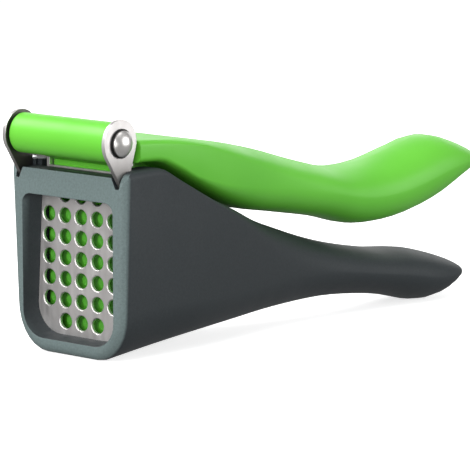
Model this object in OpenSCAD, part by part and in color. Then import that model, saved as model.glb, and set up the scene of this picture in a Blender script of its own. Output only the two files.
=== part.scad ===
// Hand-held garlic press: a hopper on the lower handle, a steel sieve in its front window, and an
// upper lever that swings a studded pad through the hopper. Closed pose. Millimetres, Z up.
// X runs from the front back to the handle ends, Y is across. Sizes below count X from the front face;
// place() then moves the whole press so that the origin is at the middle of its footprint.

/* [Hopper] */
// Height of the hopper's open rim
rim_z = 62.5; // [50:0.5:80]
// Width across the hopper at its rim
hopper_w = 45; // [38:0.5:60]
// Height of the hopper's underside at the front
hopper_base_z = 7; // [4:0.5:12]
// Inward lean of each side wall, per mm of height
side_lean = 0.028; // [0:0.002:0.08]
// Round between the front face and the sides
front_round = 3; // [1:0.25:4]
// Thickness of each side wall at the rim
wall_t = 6.6; // [5.5:0.1:9]
// Thickness of the front frame, from its face to the sieve
frame_t = 5.8; // [3:0.1:6]
// How far the front frame's top edge stays below the rim
frame_drop = 1.6; // [0.5:0.1:4]

/* [Window] */
// Width of the frame beside the window
frame_side = 5; // [4:0.25:8]
// Height of the frame below the window
frame_foot = 4.5; // [3:0.25:8]
// Height between the window's top and the rim
frame_head = 9.1; // [7:0.1:14]
// Radius of the window's lower corners
window_r = 7.5; // [3:0.5:12]
// Radius of the window's upper corners at the front face
window_top_r = 3; // [1:0.25:6]
// How far each side of the window leans in towards the sieve at its foot
window_bevel = 0.75; // [0.5:0.25:4]
// Extra lean of each side at the window's top
window_bevel_top = 1.8; // [0:0.1:3]

/* [Sieve] */
// Sheet thickness of the sieve
sieve_t = 1; // [0.6:0.1:1.6]
// Distance between neighbouring holes
pitch = 6.2; // [4:0.1:9]
// Hole diameter
hole_d = 4.5; // [2:0.1:6]
// Height of the middle row of holes above the window's foot
mid_row_rise = 23.2; // [18:0.1:30]
// How far the sieve's sheet reaches behind each side wall
sieve_lap = 1.5; // [0.8:0.1:2]
// How far each wing's fold stands in from the chamber's wall
neck_step = 2.9; // [1.5:0.1:5]
// How far the sieve's top edge stands above the frame
sieve_rise = 0.5; // [0:0.1:2]
// Length of each wing, front to back
wing_l = 5.7; // [3:0.1:7]
// Length of each wing's tab, front to back
tab_l = 2; // [1:0.1:4]
// Gap between the tabs and the rim under them
tab_rise = 0.9; // [0.2:0.1:1.5]

/* [Pivot] */
// Distance of the pivot behind the front face
pivot_x = 1.2; // [0:0.1:4]
// Height of the pivot above the rim
pivot_rise = 8.2; // [7.5:0.1:12]
// Pivot pin diameter
pin_d = 5; // [3:0.1:7]
// Outer diameter of the lever's barrel
barrel_d = 11.6; // [10:0.1:14]
// Outer diameter of the bushes in the barrel
bush_d = 8; // [6.5:0.1:9]
// Length of each bush
bush_l = 10; // [5:0.5:14]
// Diameter of the pin's heads
head_d = 7.5; // [6:0.1:9]
// Height of each domed head
head_h = 2.2; // [1:0.1:3]

/* [Ears] */
// Ear plate thickness
ear_t = 1.2; // [0.8:0.1:2]
// Depth of each ear's outer face inside the side wall
ear_inset = 2.8; // [2:0.1:4]
// Radius of the ear round the pivot
ear_r = 6.7; // [5:0.1:9]
// Width of the ear's neck at the rim
ear_neck = 4; // [3:0.1:6]
// Width of the leg that is buried in the wall
ear_leg_w = 10; // [6:0.5:14]
// Depth of the leg below the rim
ear_leg_l = 32.5; // [28:0.5:40]
// Diameter of the two pins through each leg
ear_pin_d = 3; // [2:0.1:4]

/* [Pad] */
// Pad thickness
pad_t = 3.3; // [2.4:0.1:5]
// Length of the studs
stud_l = 1; // [0.8:0.1:3]
// Gap between the sieve and the studs' tips
stud_gap = 1.3; // [0.3:0.1:2]
// How much narrower the studs are than the holes, on the radius
stud_side_gap = 0.3; // [0.15:0.05:0.8]
// Thickness of the flap that carries the pad
flap_t = 4; // [3:0.25:6]
// Screw shank diameter
screw_d = 2.2; // [1.6:0.1:3]
// Screw head diameter
screw_head_d = 4.4; // [3.4:0.1:6]

/* [Handles] */
// Distance from the front face to the end of the lower handle
lower_len = 190; // [170:1:220]
// Distance from the front face to the end of the upper lever
upper_len = 197.4; // [170:1:230]
// Width of the lower handle's grip
lower_grip_w = 24.4; // [18:0.2:32]
// Width of the upper lever's grip
upper_grip_w = 26.6; // [18:0.2:34]

/* [Clearances] */
// Gap round the pin in the bushes, on the radius
running_fit = 0.05; // [0.02:0.01:0.1]
// Gap round pieces that are seated or pressed in
seat_fit = 0.02; // [0.01:0.01:0.1]
// Gap between the moving pad and the parts round it
sweep_gap = 0.5; // [0.3:0.05:1]
// Gap between each end of the barrel and its washer
side_play = 0.25; // [0.15:0.05:0.6]
// Gap round a sheet part in its slot
slot_fit = 0.05; // [0.02:0.01:0.2]

/* [Hidden] */
$fn = 64;
mid_x = (upper_len - (ear_r - pivot_x)) / 2;
hopper_h = hopper_w / 2;
chamber_h = hopper_h - wall_t;
ear_out = hopper_h - ear_inset;
ear_in = ear_out - ear_t;
frame_top_z = rim_z - frame_drop;
window_half = hopper_h - frame_side;
window_low_z = hopper_base_z + frame_foot;
window_high_z = rim_z - frame_head;
sieve_x = frame_t;
sieve_back = frame_t + sieve_t;
washer_t = 0.4;
head_washer_t = 0.5;
head_y = ear_out + head_washer_t;
pivot_z = rim_z + pivot_rise;
barrel_h = ear_in - washer_t - side_play;
stud_d = hole_d - 2 * stud_side_gap;
// The chamber's floor is an arc round the pivot, level with the window's foot
chamber_r = pivot_z - window_low_z + 0.2;
tip_r = chamber_r - sweep_gap;
flap_h = chamber_h - sweep_gap;
wing_r = norm([sieve_x + wing_l - pivot_x, pivot_z - rim_z + 4]);
stud_x = sieve_back + stud_gap;
pad_x = stud_x + stud_l;
flap_x = pad_x + pad_t;
flap_back = flap_x + flap_t;
flap_top_z = pivot_z - wing_r - sweep_gap;
mid_row_z = window_low_z + mid_row_rise;
// As many columns and rows as the chamber has room for; one more short row stands at each end
side_cols = floor((chamber_h - hole_d / 2 - 1) / pitch);
side_rows = floor((mid_row_rise - 1.2 - hole_d / 2) / pitch) - 1;
pad_top_z = mid_row_z + (side_rows + 0.5) * pitch;
sieve_h = chamber_h + sieve_lap;
sieve_low_z = window_low_z - 1.4;
sieve_corner = 7;
neck_h = chamber_h - neck_step;
ear_neck_z = rim_z - 4.8;
leg_x = pivot_x + 1.6;
leg_low_z = rim_z - ear_leg_l;
// The leg's pins stand clear behind the sieve's sheet
ear_pin_x = sieve_back + ear_pin_d / 2 + 0.8;
lever_start = pivot_x + ear_r + 0.7;
grip_lower = lower_grip_w / 2;
grip_upper = upper_grip_w / 2;
lever_h = ear_out + 0.9;
pad_screw_y = 1.5 * pitch;
low_l = lower_len;
up_l = upper_len;

// Side-view outlines of the two handles and their half widths: [distance from the front, value]
body_top = [
  [0, rim_z], [14, rim_z], [18, rim_z - 0.9], [23, rim_z - 3.6], [30, rim_z - 7.2],
  [42, 0.795 * rim_z], [55, 0.72 * rim_z], [0.368 * low_l, 0.634 * rim_z],
  [0.447 * low_l, 0.56 * rim_z], [0.537 * low_l, 0.474 * rim_z], [0.632 * low_l, 0.395 * rim_z],
  [0.737 * low_l, 0.33 * rim_z], [0.842 * low_l, 0.286 * rim_z], [low_l - 14, 13.4],
  [low_l - 5, 9.9], [low_l, 7.6]];
body_low = [
  [0, hopper_base_z], [35, hopper_base_z + 2.4], [0.342 * low_l, 9.7], [0.484 * low_l, 9.2],
  [0.605 * low_l, 8.5], [0.711 * low_l, 6.2], [0.789 * low_l, 3.4], [0.842 * low_l, 0.7],
  [0.884 * low_l, 0], [low_l - 15, 1.2], [low_l - 8, 3.6], [low_l, 5]];
body_half = [
  [0, hopper_h], [25, hopper_h - 0.1], [42, hopper_h - 1.5], [0.316 * low_l, hopper_h - 4.5],
  [0.421 * low_l, grip_lower + 2.6], [0.526 * low_l, grip_lower + 0.6],
  [0.658 * low_l, grip_lower], [0.789 * low_l, grip_lower + 0.2],
  [0.874 * low_l, grip_lower + 0.4], [low_l - 13, grip_lower - 1.2],
  [low_l - 6, grip_lower - 4.2], [low_l - 2, grip_lower - 7.6], [low_l, grip_lower - 10.4]];
lever_top = [
  [0, rim_z + 8.7], [12, rim_z + 8.1], [30, rim_z + 6.3], [52, rim_z + 2.7],
  [0.38 * up_l, 0.965 * rim_z], [0.506 * up_l, 0.858 * rim_z], [0.607 * up_l, 0.787 * rim_z],
  [0.7085 * up_l, 0.787 * rim_z], [0.8 * up_l, 0.833 * rim_z], [0.87 * up_l, 0.861 * rim_z],
  [up_l - 10, 0.785 * rim_z], [up_l, 0.712 * rim_z]];
lever_low = [
  [0, rim_z + 1.9], [13, rim_z + 1.6], [19, rim_z + 0.9], [23, rim_z - 0.7], [28, rim_z - 3.1],
  [38, 0.864 * rim_z], [52, 0.765 * rim_z], [0.354 * up_l, 0.678 * rim_z],
  [0.455 * up_l, 0.616 * rim_z], [0.567 * up_l, 0.547 * rim_z], [0.658 * up_l, 0.475 * rim_z],
  [0.759 * up_l, 0.471 * rim_z], [0.86 * up_l, 0.531 * rim_z], [up_l - 14, 0.62 * rim_z],
  [up_l, 0.657 * rim_z]];
lever_half = [
  [0, lever_h], [30, lever_h - 0.1], [50, lever_h - 1.8], [0.354 * up_l, grip_upper + 2.9],
  [0.481 * up_l, grip_upper + 0.7], [0.633 * up_l, grip_upper - 0.1],
  [0.784 * up_l, grip_upper + 0.3], [0.87 * up_l, grip_upper - 0.1],
  [up_l - 14.6, grip_upper - 1.4], [up_l - 7.6, grip_upper - 4.3], [up_l - 3, grip_upper - 7],
  [up_l, grip_upper - 11.4]];
// Share of the half width and half height that each corner's round takes
body_round_top = [[0, 0.08], [50, 0.12], [0.447 * low_l, 0.7], [0.605 * low_l, 0.97], [low_l, 0.97]];
body_round_low = [[0, 0.5], [58, 0.6], [0.5 * low_l, 0.9], [0.632 * low_l, 0.97], [low_l, 0.97]];
lever_round_top = [[0, 0.09], [25, 0.12], [50, 0.42], [0.41 * up_l, 0.78], [0.607 * up_l, 0.97],
  [up_l, 0.97]];
lever_round_low = [[0, 0.1], [25, 0.16], [45, 0.5], [0.405 * up_l, 0.85], [0.607 * up_l, 0.97],
  [up_l, 0.97]];
// Least height of the lever's long edge rounds
edge_r = 1.7;
ring_steps = 7;

// ---- smooth curves through a few points ----

function span(pts, x, i = 0) = i >= len(pts) - 2 || x < pts[i + 1][0] ? i : span(pts, x, i + 1);

function steep(pts, i) =
  let (a = max(i - 1, 0), b = min(i + 1, len(pts) - 1))
  (pts[b][1] - pts[a][1]) / (pts[b][0] - pts[a][0]);

function curve(pts, x) =
  let (
    i = span(pts, x),
    h = pts[i + 1][0] - pts[i][0],
    t = (x - pts[i][0]) / h,
    t2 = t * t,
    t3 = t2 * t)
  (2 * t3 - 3 * t2 + 1) * pts[i][1] + (t3 - 2 * t2 + t) * h * steep(pts, i)
  + (3 * t2 - 2 * t3) * pts[i + 1][1] + (t3 - t2) * h * steep(pts, i + 1);

// One closed cross-section: half width, top, bottom, corner shares, lean and inset
function ring(x, w, top, low, kt, kl, lean, inset) =
  let (
    half = (top - low) / 2,
    least = min(edge_r, 0.9 * half),
    wt = w - inset,
    wl = w - lean * (top - low) - inset,
    zl = low + inset,
    at = max(kt * w - inset, 0.3),
    ht = max(kt * half, min(kt * w, least)),
    al = max(kl * w - inset, 0.3),
    hl = max(kl * half, min(kl * w, least)) - inset * kl,
    steps = [for (i = [0:ring_steps]) 90 * i / ring_steps])
  concat(
    [for (a = steps) [x, wt - at + at * cos(a), top - ht + ht * sin(a)]],
    [for (a = steps) [x, -(wt - at) - at * sin(a), top - ht + ht * cos(a)]],
    [for (a = steps) [x, -(wl - al) - al * cos(a), zl + hl - hl * sin(a)]],
    [for (a = steps) [x, wl - al + al * sin(a), zl + hl - hl * cos(a)]]);

// A closed skin over a row of cross-sections
module loft(rings) {
  n = len(rings[0]);
  m = len(rings);
  quads = [for (j = [0:m - 2], i = [0:n - 1])
    let (a = j * n + i, b = j * n + (i + 1) % n) [a, a + n, b + n, b]];
  halves = [for (q = quads, h = [0, 1]) h == 0 ? [q[0], q[1], q[2]] : [q[0], q[2], q[3]]];
  first = [for (i = [0:n - 1]) i];
  last = [for (i = [n - 1:-1:0]) (m - 1) * n + i];
  polyhedron(points = [for (r = rings, p = r) p], faces = concat(halves, [first, last]));
}

// ---- shared shapes ----

module place() {
  translate([-mid_x, 0, 0])
    children();
}

// A cylinder along Y between two places, on the pivot unless told otherwise
module along_y(d, y1, y2, x = pivot_x, z = pivot_z) {
  translate([x, y2, z])
    rotate([90, 0, 0])
      cylinder(d = d, h = y2 - y1);
}

module along_x(d, x1, x2, y, z) {
  translate([x1, y, z])
    rotate([0, 90, 0])
      cylinder(d = d, h = x2 - x1);
}

// A side-view outline (x, z) given thickness from y1 to y2
module side_plate(y1, y2) {
  translate([0, y2, 0])
    rotate([90, 0, 0])
      linear_extrude(y2 - y1)
        children();
}

// A front-view outline (y, z) given thickness from x1 to x2
module front_plate(x1, x2) {
  translate([x1, 0, 0])
    rotate([90, 0, 90])
      linear_extrude(x2 - x1)
        children();
}

module both_sides() {
  children();
  mirror([0, 1, 0])
    children();
}

// The space swept round the pivot by a flap of this half width, from outer radius r inwards
module sweep(half, r, corner, from_deg, to_deg) {
  inner = 2;
  translate([pivot_x, 0, pivot_z])
    rotate([90, 0, 0])
      rotate([0, 0, from_deg])
        rotate_extrude(angle = to_deg - from_deg, $fn = 96)
          union() {
            translate([inner, -half])
              square([r - corner - inner, 2 * half]);
            translate([inner, corner - half])
              square([r - inner, 2 * (half - corner)]);
            for (s = [-1, 1])
              translate([r - corner, s * (half - corner)])
                circle(r = corner, $fn = 48);
          }
}

// ---- housing: hopper and lower handle ----

module body_skin() {
  rounding = [for (a = [90:-22.5:0]) [front_round * (1 - sin(a)), front_round * (1 - cos(a))]];
  front = [for (x = [8, 13, 15.5, 18, 20.5, 23, 26, 30, 36, 42, 48]) [x, 0]];
  rest = [for (i = [0:20]) [54 + (low_l - 18 - 54) * i / 20, 0]];
  tail = [for (d = [15, 12, 9, 6.5, 4.5, 3, 1.5, 0.6, 0]) [low_l - d, 0]];
  stations = concat(rounding, front, rest, tail);
  loft([for (s = stations)
    ring(s[0], curve(body_half, s[0]), min(rim_z, curve(body_top, s[0])), curve(body_low, s[0]),
      curve(body_round_top, s[0]), curve(body_round_low, s[0]),
      side_lean * max(0, 1 - s[0] / 80), s[1])]);
}

module window_outline(half_low, half_high, low, high, r, top_r) {
  hull() {
    for (s = [-1, 1]) {
      translate([s * (half_low - r), low + r])
        circle(r = r, $fn = 32);
      translate([s * (half_high - top_r), high - top_r])
        circle(r = top_r, $fn = 32);
    }
  }
}

module window_cut() {
  hull() {
    front_plate(-0.02, 0)
      window_outline(window_half, window_half, window_low_z, window_high_z, window_r, window_top_r);
    front_plate(sieve_x, sieve_x + 0.02)
      window_outline(window_half - window_bevel, window_half - window_bevel - window_bevel_top,
        window_low_z + 0.6, window_high_z, window_r + 1, window_top_r / 2);
  }
}

// A plate with a round at each lower corner
module sieve_outline(half, low, high, corner) {
  translate([-half, low + corner])
    square([2 * half, high - low - corner]);
  translate([corner - half, low])
    square([2 * (half - corner), corner + 1]);
  for (s = [-1, 1])
    translate([s * (half - corner), low + corner])
      circle(r = corner);
}

// The pocket that the sieve drops into, open at the top
module sieve_pocket() {
  front_plate(sieve_x, sieve_back + slot_fit)
    sieve_outline(sieve_h + slot_fit, sieve_low_z - slot_fit, rim_z + 2, sieve_corner);
}

module ear_leg() {
  neck_x = leg_x - 1.2;
  polygon([
    [neck_x, rim_z + 3], [neck_x, ear_neck_z], [leg_x, ear_neck_z - 3], [leg_x, leg_low_z],
    [leg_x + ear_leg_w, leg_low_z], [leg_x + ear_leg_w, ear_neck_z - 8],
    [neck_x + ear_neck, ear_neck_z - 2], [neck_x + ear_neck, rim_z + 3]]);
}

module notch_cut() {
  // V-shaped notch in the frame's top corner, where the ear comes out
  front_plate(-1, sieve_x)
    polygon([
      [ear_in - 1.4, frame_top_z], [ear_in + 0.1, ear_neck_z], [ear_out - 0.1, ear_neck_z],
      [ear_out + 0.2, ear_neck_z + 0.3], [ear_out + 0.2, rim_z + 2], [ear_in - 1.4, rim_z + 2]]);
  // Rounded front corner of the outer strip
  translate([0, ear_out, 0])
    difference() {
      translate([-1, 0, ear_neck_z])
        cube([6, 6, 6.5]);
      translate([5, 0, ear_neck_z])
        rotate([-90, 0, 0])
          cylinder(r = 4.8, h = 6);
    }
}

module frame_top_cut() {
  translate([-1, -ear_in, frame_top_z])
    cube([1 + sieve_x, 2 * ear_in, 5]);
}

module ear_pin_places() {
  for (z = [ear_neck_z - 9, ear_neck_z - 22])
    translate([ear_pin_x, 0, z])
      children();
}

module ear_pin_holes(d, y1, y2) {
  ear_pin_places()
    along_y(d, y1, y2, 0, 0);
}

module housing() {
  color([0.27, 0.29, 0.3])
    place()
      difference() {
        body_skin();
        window_cut();
        sieve_pocket();
        intersection() {
          sweep(chamber_h, chamber_r, 6, -90, 4);
          translate([sieve_back, -chamber_h - 1, 0])
            cube([2 * chamber_r, 2 * chamber_h + 2, 2 * pivot_z]);
        }
        translate([sieve_back, -chamber_h, pivot_z - chamber_r / 2])
          cube([10, 2 * chamber_h, chamber_r]);
        frame_top_cut();
        both_sides()
          notch_cut();
        both_sides()
          side_plate(ear_in - slot_fit, ear_out + slot_fit)
            offset(delta = slot_fit)
              ear_leg();
        both_sides()
          ear_pin_holes(ear_pin_d + 2 * seat_fit, chamber_h - 1, ear_out + 1.2);
      }
}

// ---- steel sieve ----

module sieve_hole(col, row) {
  along_x(hole_d, sieve_x - 1, sieve_back + 1, col * pitch, mid_row_z + row * pitch);
  translate([sieve_x - 0.01, col * pitch, mid_row_z + row * pitch])
    rotate([0, 90, 0])
      cylinder(d1 = hole_d + 0.5, d2 = hole_d, h = 0.25);
}

module sieve_holes() {
  for (row = [-side_rows:side_rows], col = [-side_cols:side_cols])
    sieve_hole(col, row);
  for (row = [-side_rows - 1, side_rows + 1], col = [1 - side_cols:side_cols - 1])
    sieve_hole(col, row);
}

module sieve_plate() {
  shoulder_z = ear_neck_z;
  wing_z = rim_z - 4;
  tab_z = rim_z + tab_rise;
  color([0.76, 0.72, 0.71])
    place()
      union() {
        difference() {
          front_plate(sieve_x, sieve_back)
            union() {
              sieve_outline(sieve_h, sieve_low_z, shoulder_z, sieve_corner + 0.4);
              translate([-neck_h, mid_row_z])
                square([2 * neck_h, frame_top_z + sieve_rise - mid_row_z]);
            }
          sieve_holes();
        }
        // A wing folded back and then outwards at each side of the top edge
        both_sides() {
          translate([sieve_x, neck_h - 1, wing_z])
            cube([wing_l, 1, rim_z + 0.8 - wing_z]);
          translate([sieve_x, neck_h - 1, wing_z])
            cube([tab_l, 1, tab_z + 1 - wing_z]);
          translate([sieve_x, neck_h - 1, tab_z])
            cube([tab_l, ear_in - 0.1 - neck_h + 1, 1]);
        }
      }
}

// ---- ears, their pins and the pivot ----

module ear() {
  color([0.66, 0.62, 0.6])
    place()
      difference() {
        side_plate(ear_in, ear_out)
          union() {
            ear_leg();
            translate([pivot_x, pivot_z])
              circle(r = ear_r, $fn = 96);
            polygon([
              [pivot_x - ear_r * cos(25), pivot_z - ear_r * sin(25)],
              [leg_x - 1.2, ear_neck_z],
              [leg_x - 1.2 + ear_neck, ear_neck_z],
              [leg_x - 1.2 + ear_neck, rim_z + 0.4],
              [pivot_x + ear_r * cos(25), pivot_z - ear_r * sin(25)]]);
          }
        along_y(pin_d + 2 * seat_fit, ear_in - 1, ear_out + 1);
        ear_pin_holes(ear_pin_d + 2 * seat_fit, ear_in - 1, ear_out + 1);
      }
}

module ear_pins() {
  color([0.7, 0.7, 0.7])
    place()
      ear_pin_holes(ear_pin_d, chamber_h + 0.1, ear_out + 1);
}

module domed_head(y) {
  round_r = (head_d * head_d / 4 + (head_h - 0.6) * (head_h - 0.6)) / (2 * (head_h - 0.6));
  along_y(head_d, y, y + 0.6);
  intersection() {
    translate([pivot_x, y + head_h - round_r, pivot_z])
      rotate([90, 0, 0])
        sphere(r = round_r, $fn = 96);
    along_y(head_d, y + 0.6, y + head_h + 1);
  }
}

module pivot_pin() {
  color([0.72, 0.71, 0.69])
    place()
      difference() {
        union() {
          along_y(pin_d, -head_y, head_y - 0.1);
          mirror([0, 1, 0])
            domed_head(head_y);
        }
        along_y(3 + 2 * seat_fit, head_y - 7, head_y + 1);
      }
}

module pivot_cap() {
  color([0.72, 0.71, 0.69])
    place()
      union() {
        domed_head(head_y);
        along_y(3, head_y - 6.5, head_y);
      }
}

module washer(inner_d, outer_d, y1, y2) {
  difference() {
    along_y(outer_d, y1, y2);
    along_y(inner_d, y1 - 1, y2 + 1);
  }
}

module head_washer() {
  color([0.12, 0.12, 0.12])
    place()
      washer(pin_d + 2 * seat_fit, head_d + 0.9, ear_out, head_y);
}

module thrust_washer() {
  color([0.15, 0.15, 0.15])
    place()
      washer(pin_d + 2 * seat_fit, barrel_d - 2.5, ear_in - washer_t, ear_in);
}

// ---- lever, bushes and pad ----

module lever_skin() {
  root = [lever_start, 11, 14, 17, 20, 22.5, 25, 28];
  middle = [for (i = [0:22]) 33 + (up_l - 32 - 33) * i / 22];
  tail = [for (d = [26, 21, 17, 13.5, 10.5, 8, 6, 4, 2.5, 1.2, 0.4, 0]) up_l - d];
  loft([for (x = concat(root, middle, tail))
    ring(x, curve(lever_half, x), curve(lever_top, x), curve(lever_low, x),
      curve(lever_round_top, x), curve(lever_round_low, x), 0, 0)]);
}

module flap() {
  neck_half = neck_h - 1 - sweep_gap;
  // Neck between the barrel and the flap, behind the sieve's top edge
  side_plate(-neck_half, neck_half)
    polygon([
      [pivot_x - 3, pivot_z - 4.6], [sieve_back + sweep_gap, rim_z + 0.4],
      [sieve_back + sweep_gap, flap_top_z + 4], [flap_x, flap_top_z], [flap_x, flap_top_z - 6],
      [flap_back, flap_top_z - 6], [flap_back, lever_low[0][1] + 1], [pivot_x + 3, pivot_z - 2]]);
  // The flap itself, rounded to follow the chamber's floor
  intersection() {
    sweep(flap_h, tip_r, 5.5, -90, -40);
    translate([flap_x, -flap_h - 1, 0])
      cube([flap_t, 2 * flap_h + 2, flap_top_z]);
  }
  // Ribs up to the lever's underside
  for (y = [-7.5, 0, 7.5])
    side_plate(y - 1, y + 1)
      polygon([
        [flap_back - 1, mid_row_z - 4], [flap_back + 1, mid_row_z - 4], [flap_back + 9, rim_z - 6.5],
        [flap_back + 12, rim_z + 1.5], [flap_back + 4, rim_z + 4], [flap_back - 1, rim_z + 4]]);
}

module pad_screw_holes(d, x1, x2) {
  for (y = [-1, 1], z = [-1, 1])
    along_x(d, x1, x2, y * pad_screw_y, mid_row_z + z * 1.5 * pitch);
}

module lever() {
  color([0.33, 0.82, 0.16])
    place()
      difference() {
        union() {
          lever_skin();
          along_y(barrel_d, -barrel_h, barrel_h);
          side_plate(-barrel_h, barrel_h)
            polygon([
              [pivot_x, pivot_z - barrel_d / 2 + 0.6], [lever_start + 2, lever_low[0][1] + 0.6],
              [lever_start + 2, lever_top[1][1] - 0.6], [pivot_x + 5, pivot_z + 1.5],
              [pivot_x, pivot_z + barrel_d / 2 - 1.8]]);
          flap();
        }
        along_y(pin_d + 1, -barrel_h - 1, barrel_h + 1);
        both_sides()
          along_y(bush_d + 2 * seat_fit, barrel_h - bush_l - 0.1, barrel_h + 1);
        pad_screw_holes(screw_d + 0.1, flap_x - 1, flap_back + 1);
        pad_screw_holes(screw_head_d + 0.2, flap_back - 1.6, flap_back + 8);
      }
}

module bush() {
  color([0.8, 0.78, 0.7])
    place()
      difference() {
        along_y(bush_d, barrel_h - bush_l, barrel_h);
        along_y(pin_d + 2 * running_fit, barrel_h - bush_l - 1, barrel_h + 1);
      }
}

module stud(col, row) {
  y = col * pitch;
  z = mid_row_z + row * pitch;
  along_x(stud_d, stud_x + 0.25, pad_x + 0.5, y, z);
  translate([stud_x, y, z])
    rotate([0, 90, 0])
      cylinder(d1 = stud_d - 0.5, d2 = stud_d, h = 0.25);
}

module press_pad() {
  color([0.3, 0.78, 0.15])
    place()
      difference() {
        union() {
          intersection() {
            sweep(flap_h, tip_r, 5.5, -90, -40);
            translate([pad_x, -flap_h - 1, 0])
              cube([pad_t, 2 * flap_h + 2, pad_top_z]);
          }
          for (row = [-side_rows:side_rows], col = [-side_cols:side_cols])
            stud(col, row);
          for (col = [1 - side_cols:side_cols - 1])
            stud(col, -side_rows - 1);
        }
        pad_screw_holes(screw_d + 2 * seat_fit, flap_x - 2.6, flap_x + 1);
      }
}

module pad_screws() {
  color([0.75, 0.75, 0.75])
    place()
      union() {
        pad_screw_holes(screw_d, flap_x - 2.5, flap_back - 0.5);
        pad_screw_holes(screw_head_d, flap_back - 1.6, flap_back - 0.3);
      }
}

housing();
sieve_plate();
mirror([0, 1, 0]) ear();  // left_ear
ear();  // right_ear
mirror([0, 1, 0]) ear_pins();  // left_ear_pins
ear_pins();  // right_ear_pins
pivot_pin();
pivot_cap();
mirror([0, 1, 0]) head_washer();  // left_head_washer
head_washer();  // right_head_washer
mirror([0, 1, 0]) thrust_washer();  // left_thrust_washer
thrust_washer();  // right_thrust_washer
lever();
mirror([0, 1, 0]) bush();  // left_bush
bush();  // right_bush
press_pad();
pad_screws();
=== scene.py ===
"""Looks for the garlic press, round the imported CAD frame.

Materials, smooth shading, floor, lights and camera.
"""

import math

import bpy
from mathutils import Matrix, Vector


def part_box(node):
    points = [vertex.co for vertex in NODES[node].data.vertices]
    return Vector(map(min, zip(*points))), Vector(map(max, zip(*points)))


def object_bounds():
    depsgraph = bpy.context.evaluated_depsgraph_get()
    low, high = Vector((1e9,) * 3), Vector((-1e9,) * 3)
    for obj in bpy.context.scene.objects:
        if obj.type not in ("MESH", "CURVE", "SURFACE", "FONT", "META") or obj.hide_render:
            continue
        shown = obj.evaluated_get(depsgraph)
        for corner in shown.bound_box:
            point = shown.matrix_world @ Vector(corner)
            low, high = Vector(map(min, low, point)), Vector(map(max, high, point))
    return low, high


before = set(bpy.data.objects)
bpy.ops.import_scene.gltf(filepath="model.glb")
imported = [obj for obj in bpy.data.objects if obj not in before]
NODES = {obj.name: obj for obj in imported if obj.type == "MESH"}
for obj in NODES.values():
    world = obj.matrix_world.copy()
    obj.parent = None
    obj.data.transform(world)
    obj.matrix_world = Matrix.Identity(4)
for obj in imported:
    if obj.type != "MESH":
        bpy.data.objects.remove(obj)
CAD_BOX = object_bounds()

MM = 0.001
HOUSING_LOW, HOUSING_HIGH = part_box("housing")
CAD_FRONT = HOUSING_LOW.x
RIM_Z = HOUSING_HIGH.z
WINDOW_MIDDLE = (0.0, 0.0, 0.52 * RIM_Z)

# Colours, linear
GREEN = (0.160, 0.66, 0.046)
GREEN_DEEP = (0.140, 0.61, 0.038)
# Painted shade: the press pad is a darker copy of the green, for the shade in the chamber behind the sieve
PAD_SHADED_GREEN = (0.080, 0.38, 0.022)
PAD_SHADED_DEEP = (0.060, 0.31, 0.017)
SLATE = (0.029, 0.036, 0.040)
SLATE_PALE = (0.037, 0.045, 0.049)
# Painted light: a paler copy of the slate for the front frame, standing in for the light that falls on it
LIT_FRONT_PAINT = (0.138, 0.182, 0.181)
LIT_FRONT_PAINT_PALE = (0.180, 0.236, 0.233)
SHEET = (0.86, 0.84, 0.83)
SHEET_WARM = (0.76, 0.73, 0.715)
# Painted shade: the dark colour laid on the ears' inner faces and foot, for shade and dark reflections
# there
EAR_SHADE_PAINT = (0.085, 0.080, 0.072)
PIN = (0.82, 0.80, 0.77)
BLACK = (0.004, 0.004, 0.004)
BLACK_WORN = (0.010, 0.010, 0.010)
ACETAL = (0.72, 0.69, 0.60)
ACETAL_DEEP = (0.64, 0.60, 0.50)
PAPER = (0.93, 0.93, 0.93)
PAPER_DEEP = (0.92, 0.92, 0.92)
WHITE = (1, 1, 1, 1)

# The span of the noise texture's values that is used where nothing else is said
NOISE_LOW, NOISE_HIGH = 0.3, 0.7

# The front frame painted paler, as painted light for the key lamp in front of it: distances behind its
# face, and the facing that it fades over
FRAME_FADE = (2.0 * MM, 3.2 * MM)
LIP_FADE = (0.3 * MM, 2.4 * MM)
AHEAD_FADE = (-0.5, -0.2)
OUTWARD_FADE = (-0.35, -0.12)

# Painted shade and dark reflection on the ears: darker on faces that look inwards, and at the foot, where
# it fades out above the rim
INNER_FADE = (-15 * MM, -5 * MM)
INNER_SHADE_PAINT = 0.95
FOOT_FADE = (-1 * MM, 7 * MM)
FOOT_SHADE_PAINT = 0.75

# CAD shading: corners closer than this are joined, and edges sharper than this many degrees stay crisp
WELD = 2e-6
SHARP_DEG = 32

# Floor: half its width, how far it lies under the housing, and its glow and the world's
FLOOR_HALF = 6.0
FLOOR_GAP = 0.05 * MM
FLOOR_GLOW = 0.72
WORLD_GLOW = 0.30

# Where the housing's underside is searched for its two resting places, as shares of the object's box
LOW_SHARE = 0.2
FRONT_SHARE = 0.2
BACK_SHARE = 0.1
ROUNDS = 6

# Softboxes: direction from the middle of the object, distance, width and height, radiance
SOFTBOXES = {
    "key_front": ((-1.0, -0.10, 0.42), 1.0, (0.55, 0.45), 7.0),
    "front_fill": ((-0.85, -0.55, 0.02), 1.2, (0.9, 0.6), 2.4),
    "high_back": ((-0.4, 0.65, 0.72), 1.0, (0.7, 0.4), 6.0),
    "top": ((-0.1, -0.3, 1.0), 1.0, (0.9, 0.7), 1.6),
    "backdrop": ((0.76, 0.63, 0.30), 1.2, (1.4, 0.5), 1.5),
    "side": ((0.55, -0.95, 0.20), 1.3, (0.9, 0.7), 3.5),
}

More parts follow.
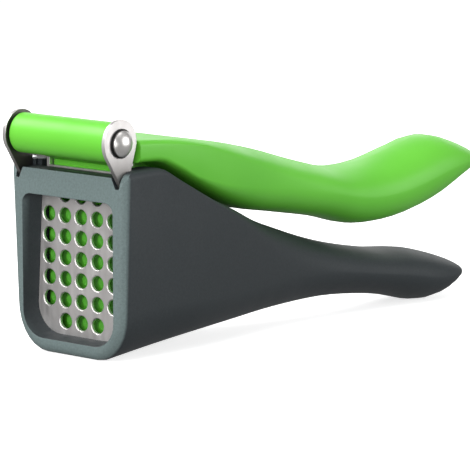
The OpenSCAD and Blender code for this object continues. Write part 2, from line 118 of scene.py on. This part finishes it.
# Camera: the direction it looks from, how far it stands and where it aims. The aim's X and Y are shares
# of the object's box, from its middle, and its Z is metres above the lowest point
VIEW_AZ = -50.4
VIEW_EL = 9.7
LENS = 229.8
SENSOR = 36.0
CAM_FAR = 0.8611
AIM = (-0.3025, -0.745, 0.0419)
CLIP = (0.01, 50)

# Sockets of a colour Mix node
MIX_FACTOR, MIX_A, MIX_B, MIX_OUT = 0, 6, 7, 2


# ---- node helpers ----

class Shader:
    """One node material, built link by link."""

    def __init__(self, name):
        self.mat = bpy.data.materials.new(name)
        self.mat.use_nodes = True
        self.tree = self.mat.node_tree
        self.tree.nodes.clear()
        surface = self.add("ShaderNodeOutputMaterial")
        self.bsdf = self.add("ShaderNodeBsdfPrincipled")
        self.link(self.bsdf, "BSDF", surface, "Surface")
        self.where = self.add("ShaderNodeTexCoord")

    def add(self, kind, **values):
        n = self.tree.nodes.new(kind)
        for k, v in values.items():
            setattr(n, k, v)
        return n

    def link(self, a, out, b, inp):
        self.tree.links.new(a.outputs[out], b.inputs[inp])

    def set(self, **values):
        """Sets constants on the surface's sockets; an underscore stands for a space."""
        for k, v in values.items():
            self.bsdf.inputs[k.replace("_", " ")].default_value = v

    def stretched(self, scale):
        m = self.add("ShaderNodeMapping")
        m.inputs["Scale"].default_value = scale
        self.link(self.where, "Object", m, "Vector")
        return m

    def noise(self, scale, detail=2.0, rough=0.5, stretch=None):
        n = self.add("ShaderNodeTexNoise")
        n.inputs["Scale"].default_value = scale
        n.inputs["Detail"].default_value = detail
        n.inputs["Roughness"].default_value = rough
        if stretch:
            self.link(self.stretched(stretch), "Vector", n, "Vector")
        else:
            self.link(self.where, "Object", n, "Vector")
        return n

    def remap(self, src, out, low, high, lo=0.0, hi=1.0):
        r = self.add("ShaderNodeMapRange")
        r.inputs["From Min"].default_value = low
        r.inputs["From Max"].default_value = high
        r.inputs["To Min"].default_value = lo
        r.inputs["To Max"].default_value = hi
        self.link(src, out, r, "Value")
        return r

    def mix(self, src, out):
        """A colour Mix node steered by src."""
        m = self.add("ShaderNodeMix", data_type="RGBA")
        self.link(src, out, m, MIX_FACTOR)
        return m

    def mixed(self, src, out, a, b):
        m = self.mix(src, out)
        m.inputs[MIX_A].default_value = (*a, 1)
        m.inputs[MIX_B].default_value = (*b, 1)
        return m

    def axes(self, out):
        """The X, Y and Z of the place or the normal in the object's own coordinates."""
        v = self.add("ShaderNodeSeparateXYZ")
        self.link(self.where, out, v, "Vector")
        return v

    def maths(self, operation, a, a_out, b, b_out):
        m = self.add("ShaderNodeMath", operation=operation)
        self.link(a, a_out, m, 0)
        self.link(b, b_out, m, 1)
        return m

    def outwardness(self, middle):
        """How far a surface faces away from the line along X through this point.

        Below 0, it faces the line.
        """
        off = self.add("ShaderNodeVectorMath", operation="SUBTRACT")
        self.link(self.where, "Object", off, 0)
        off.inputs[1].default_value = middle
        flat = self.add("ShaderNodeVectorMath", operation="MULTIPLY")
        self.link(off, "Vector", flat, 0)
        flat.inputs[1].default_value = (0, 1, 1)
        unit = self.add("ShaderNodeVectorMath", operation="NORMALIZE")
        self.link(flat, "Vector", unit, 0)
        dot = self.add("ShaderNodeVectorMath", operation="DOT_PRODUCT")
        self.link(unit, "Vector", dot, 0)
        self.link(self.where, "Normal", dot, 1)
        return dot

    def colour(self, mix):
        self.link(mix, MIX_OUT, self.bsdf, "Base Color")

    def blend_colour(self, src, out, a, b):
        m = self.mixed(src, out, a, b)
        self.colour(m)
        return m

    def roughness(self, noise, smoothest, roughest):
        """Lets the roughness wander between two values."""
        spread = self.remap(noise, "Fac", NOISE_LOW, NOISE_HIGH, smoothest, roughest)
        self.link(spread, "Result", self.bsdf, "Roughness")

    def bump(self, src, out, strength, distance, under=None):
        b = self.add("ShaderNodeBump")
        b.inputs["Strength"].default_value = strength
        b.inputs["Distance"].default_value = distance
        self.link(src, out, b, "Height")
        if under:
            self.link(under, "Normal", b, "Normal")
        return b

    def soft_edge(self, radius):
        b = self.add("ShaderNodeBevel", samples=6)
        b.inputs["Radius"].default_value = radius
        return b

    def normal(self, n):
        self.link(n, "Normal", self.bsdf, "Normal")


def moulded_green(name="moulded_green", light=GREEN, deep=GREEN_DEEP):
    """Glossy apple-green nylon with a faint flow mottle and a very fine skin texture."""
    s = Shader(name)
    s.set(Roughness=0.42, IOR=1.45, Specular_IOR_Level=0.6)
    mottle = s.remap(s.noise(scale=26, detail=3), "Fac", 0.35, 0.65)
    s.blend_colour(mottle, "Result", light, deep)
    s.roughness(s.noise(scale=90, detail=4), smoothest=0.38, roughest=0.47)
    edge = s.soft_edge(radius=0.45 * MM)
    fine = s.noise(scale=2600, detail=2, rough=0.6)
    skin = s.bump(fine, "Fac", strength=0.10, distance=0.03 * MM, under=edge)
    s.normal(s.bump(s.noise(scale=55, detail=2), "Fac", strength=0.10, distance=0.25 * MM, under=skin))
    return s.mat


def front_frame_painted_light(s):
    """1 on the housing's front frame, where its paler colour is painted light, and 0 elsewhere, as a
    node's Value.
    """
    place, facing = s.axes("Object"), s.axes("Normal")
    near = s.remap(place, "X", CAD_FRONT + FRAME_FADE[0], CAD_FRONT + FRAME_FADE[1], 1, 0)
    ahead = s.remap(facing, "X", *AHEAD_FADE, 1, 0)
    outward = s.remap(s.outwardness(WINDOW_MIDDLE), "Value", *OUTWARD_FADE, 0, 1)
    lip = s.remap(place, "X", CAD_FRONT + LIP_FADE[0], CAD_FRONT + LIP_FADE[1], 1, 0)
    framed = s.maths("MAXIMUM", outward, "Result", lip, "Result")
    front = s.maths("MULTIPLY", near, "Result", ahead, "Result")
    return s.maths("MULTIPLY", front, "Value", framed, "Value")


def moulded_slate():
    """Matt slate-grey nylon with the fine spark-eroded grain of its mould; the front frame is painted
    paler, as painted light from the lamp in front.
    """
    s = Shader("moulded_slate")
    s.set(Roughness=0.5, IOR=1.45, Specular_IOR_Level=0.35)
    speck = s.remap(s.noise(scale=1500, detail=3, rough=0.7), "Fac", 0.35, 0.7)
    sides = s.mixed(speck, "Result", SLATE, SLATE_PALE)
    # Painted light: the paler slate where the front frame faces the lamp
    front = s.mixed(speck, "Result", LIT_FRONT_PAINT, LIT_FRONT_PAINT_PALE)
    both = s.mix(front_frame_painted_light(s), "Value")
    s.link(sides, MIX_OUT, both, MIX_A)
    s.link(front, MIX_OUT, both, MIX_B)
    s.colour(both)
    s.roughness(s.noise(scale=60, detail=3), smoothest=0.46, roughest=0.56)
    grain = s.noise(scale=2200, detail=3, rough=0.65)
    s.normal(s.bump(grain, "Fac", strength=0.35, distance=0.06 * MM, under=s.soft_edge(radius=0.4 * MM)))
    return s.mat


def ear_painted_shade(s, steel):
    """Lays painted shade and dark reflection over the steel's colour on an ear's inner face and foot."""
    place, facing = s.axes("Object"), s.axes("Normal")
    inner = s.remap(s.maths("MULTIPLY", place, "Y", facing, "Y"), "Value", *INNER_FADE, INNER_SHADE_PAINT, 0)
    foot = s.remap(place, "Z", RIM_Z + FOOT_FADE[0], RIM_Z + FOOT_FADE[1], FOOT_SHADE_PAINT, 0)
    painted_dark = s.mix(s.maths("MAXIMUM", inner, "Result", foot, "Result"), "Value")
    s.link(steel, MIX_OUT, painted_dark, MIX_A)
    painted_dark.inputs[MIX_B].default_value = (*EAR_SHADE_PAINT, 1)
    s.colour(painted_dark)


def satin_sheet(name="satin_sheet", ear=False):
    """Rolled and tumbled stainless sheet: faint lengthwise streaks, soft reflections, rounded edges."""
    s = Shader(name)
    s.set(Metallic=0.92, Roughness=0.42)
    cloud = s.remap(s.noise(scale=160, detail=4, rough=0.6), "Fac", NOISE_LOW, NOISE_HIGH)
    steel = s.blend_colour(cloud, "Result", SHEET, SHEET_WARM)
    # On the ears, painted shade and dark reflection on the inner faces and the foot
    if ear:
        ear_painted_shade(s, steel)
    streak = s.noise(scale=500, detail=3, rough=0.6, stretch=(1, 1, 0.12))
    s.roughness(streak, smoothest=0.36, roughest=0.52)
    s.normal(s.bump(streak, "Fac", strength=0.12, distance=0.02 * MM, under=s.soft_edge(radius=0.22 * MM)))
    return s.mat


def polished_pin():
    """Bright turned steel with fine turning marks."""
    s = Shader("polished_pin")
    s.set(Metallic=1.0, Roughness=0.34)
    s.blend_colour(s.noise(scale=300, detail=3), "Fac", PIN, SHEET)
    s.roughness(s.noise(scale=900, detail=2), smoothest=0.28, roughest=0.40)
    marks = s.noise(scale=1400, detail=2, stretch=(1, 0.1, 1))
    s.normal(s.bump(marks, "Fac", strength=0.08, distance=0.02 * MM, under=s.soft_edge(radius=0.2 * MM)))
    return s.mat


def black_washer():
    """Dull black plastic."""
    s = Shader("black_washer")
    s.set(Roughness=0.5, Specular_IOR_Level=0.15)
    s.blend_colour(s.noise(scale=800, detail=3), "Fac", BLACK, BLACK_WORN)
    skin = s.noise(scale=2500, detail=2)
    s.normal(s.bump(skin, "Fac", strength=0.2, distance=0.03 * MM, under=s.soft_edge(radius=0.12 * MM)))
    return s.mat


def ivory_bush():
    """Ivory acetal, hidden in the barrel."""
    s = Shader("ivory_bush")
    s.set(Roughness=0.4)
    s.blend_colour(s.noise(scale=200, detail=3), "Fac", ACETAL, ACETAL_DEEP)
    skin = s.noise(scale=2200, detail=2)
    s.normal(s.bump(skin, "Fac", strength=0.15, distance=0.03 * MM, under=s.soft_edge(radius=0.15 * MM)))
    return s.mat


def pale_floor():
    """White paper that glows a little, so that it stays as white as the photo's ground."""
    s = Shader("pale_floor")
    s.set(Roughness=0.8, Specular_IOR_Level=0.05, Emission_Color=WHITE, Emission_Strength=FLOOR_GLOW)
    s.blend_colour(s.noise(scale=6, detail=2), "Fac", PAPER, PAPER_DEEP)
    return s.mat


# ---- CAD nodes ----

def shading_group(name, sharp_deg):
    """Joins a CAD mesh's split corners and shades it smooth, except across edges sharper than this."""
    g = bpy.data.node_groups.new(name, "GeometryNodeTree")
    g.interface.new_socket("Geometry", in_out="INPUT", socket_type="NodeSocketGeometry")
    g.interface.new_socket("Geometry", in_out="OUTPUT", socket_type="NodeSocketGeometry")
    start, end = g.nodes.new("NodeGroupInput"), g.nodes.new("NodeGroupOutput")
    weld = g.nodes.new("GeometryNodeMergeByDistance")
    weld.inputs["Distance"].default_value = WELD
    faces = g.nodes.new("GeometryNodeSetShadeSmooth")
    faces.domain = "FACE"
    edges = g.nodes.new("GeometryNodeSetShadeSmooth")
    edges.domain = "EDGE"
    edges.inputs["Shade Smooth"].default_value = False
    bend = g.nodes.new("GeometryNodeInputMeshEdgeAngle")
    sharp = g.nodes.new("FunctionNodeCompare")
    sharp.data_type = "FLOAT"
    sharp.operation = "GREATER_THAN"
    sharp.inputs[1].default_value = math.radians(sharp_deg)
    g.links.new(start.outputs[0], weld.inputs["Geometry"])
    g.links.new(weld.outputs["Geometry"], faces.inputs["Geometry"])
    g.links.new(faces.outputs["Geometry"], edges.inputs["Geometry"])
    g.links.new(bend.outputs["Unsigned Angle"], sharp.inputs[0])
    g.links.new(sharp.outputs["Result"], edges.inputs["Selection"])
    g.links.new(edges.outputs["Geometry"], end.inputs[0])
    return g


def dress(node, mat, group):
    """Gives a CAD node its material and smooth shading; its vertices stay as packed."""
    o = NODES[node]
    old = o.data.attributes.get("custom_normal")
    if old:
        o.data.attributes.remove(old)
    o.data.materials.clear()
    o.data.materials.append(mat)
    m = o.modifiers.new("shading", "NODES")
    m.node_group = group


def dress_all():
    """One material for each CAD node, by its name."""
    green, slate, sheet = moulded_green(), moulded_slate(), satin_sheet()
    ear = satin_sheet("ear_sheet", ear=True)
    # The pad's darker green is painted shade of the chamber behind the sieve
    pad = moulded_green("pad_green_painted_shade", PAD_SHADED_GREEN, PAD_SHADED_DEEP)
    pin, washer, bush = polished_pin(), black_washer(), ivory_bush()
    smooth = shading_group("soft_shading", SHARP_DEG)
    mats = {
        "housing": slate, "lever": green, "press_pad": pad, "sieve_plate": sheet,
        "left_ear": ear, "right_ear": ear, "left_ear_pins": pin, "right_ear_pins": pin,
        "pivot_pin": pin, "pivot_cap": pin, "pad_screws": pin, "left_bush": bush, "right_bush": bush,
        "left_head_washer": washer, "right_head_washer": washer,
        "left_thrust_washer": washer, "right_thrust_washer": washer,
    }
    for node in NODES:
        dress(node, mats[node], smooth)


# ---- floor, lights, camera ----

def resting_line():
    """Slope and height of the line that the housing's underside rests on, seen from the side.

    It touches one point of the front and one of the back.
    """
    lo, hi = CAD_BOX
    long, high = hi.x - lo.x, hi.z - lo.z
    middle = (lo.x + hi.x) / 2
    places = [(v.co.x, v.co.z) for v in NODES["housing"].data.vertices]
    low = sorted(p for p in places if p[1] < lo.z + LOW_SHARE * high)
    front = [p for p in low if p[0] < middle - FRONT_SHARE * long]
    back = [p for p in low if p[0] > middle + BACK_SHARE * long]
    slope = 0.0
    for _ in range(ROUNDS):
        a = min(front, key=lambda p: p[1] - slope * p[0])
        b = min(back, key=lambda p: p[1] - slope * p[0])
        slope = (b[1] - a[1]) / (b[0] - a[0])
    return slope, a[1] - slope * a[0]


def make_floor():
    """A wide floor on the resting line, which no reflection or bounced light sees."""
    slope, height = resting_line()
    half = FLOOR_HALF
    me = bpy.data.meshes.new("floor")
    corners = [(-half, -half), (half, -half), (half, half), (-half, half)]
    me.from_pydata([(x, y, height + slope * x - FLOOR_GAP) for x, y in corners], [], [(0, 1, 2, 3)])
    o = bpy.data.objects.new("floor", me)
    bpy.context.scene.collection.objects.link(o)
    me.materials.append(pale_floor())
    o.visible_diffuse = False
    o.visible_glossy = False


def softbox(name, direction, distance, size, radiance):
    """A rectangular area light that is aimed at the middle of the object and unseen by the camera."""
    lo, hi = CAD_BOX
    centre = (lo + hi) / 2
    data = bpy.data.lights.new(name, "AREA")
    data.shape = "RECTANGLE"
    data.size, data.size_y = size
    data.energy = radiance * math.pi * size[0] * size[1]
    o = bpy.data.objects.new(name, data)
    bpy.context.scene.collection.objects.link(o)
    d = Vector(direction).normalized()
    o.location = centre + d * distance
    o.rotation_mode = "QUATERNION"
    o.rotation_quaternion = (-d).to_track_quat("-Z", "Y")
    o.visible_camera = False


def make_lights():
    """The softboxes and a plain white world."""
    for name, box in SOFTBOXES.items():
        softbox(name, *box)
    world = bpy.data.worlds.new("studio")
    bpy.context.scene.world = world
    world.use_nodes = True
    sky = world.node_tree.nodes["Background"]
    sky.inputs["Color"].default_value = WHITE
    sky.inputs["Strength"].default_value = WORLD_GLOW


def make_camera():
    """The photo's camera, placed from the object's box."""
    lo, hi = CAD_BOX
    centre, size = (lo + hi) / 2, hi - lo
    aim = Vector((centre.x + AIM[0] * size.x, centre.y + AIM[1] * size.y, lo.z + AIM[2]))
    a, e = math.radians(VIEW_AZ), math.radians(VIEW_EL)
    back = Vector((math.sin(a) * math.cos(e), -math.cos(a) * math.cos(e), math.sin(e)))
    data = bpy.data.cameras.new("camera")
    data.lens, data.sensor_width = LENS, SENSOR
    data.clip_start, data.clip_end = CLIP
    cam = bpy.data.objects.new("camera", data)
    bpy.context.scene.collection.objects.link(cam)
    cam.location = aim + back * CAM_FAR
    cam.rotation_mode = "QUATERNION"
    cam.rotation_quaternion = (-back).to_track_quat("-Z", "Y")
    bpy.context.scene.camera = cam


def set_view():
    """Plain colours, as in the photo."""
    v = bpy.context.scene.view_settings
    v.view_transform = "Standard"
    v.look = "None"
    v.exposure = 0.0


dress_all()
make_floor()
make_lights()
make_camera()
set_view()
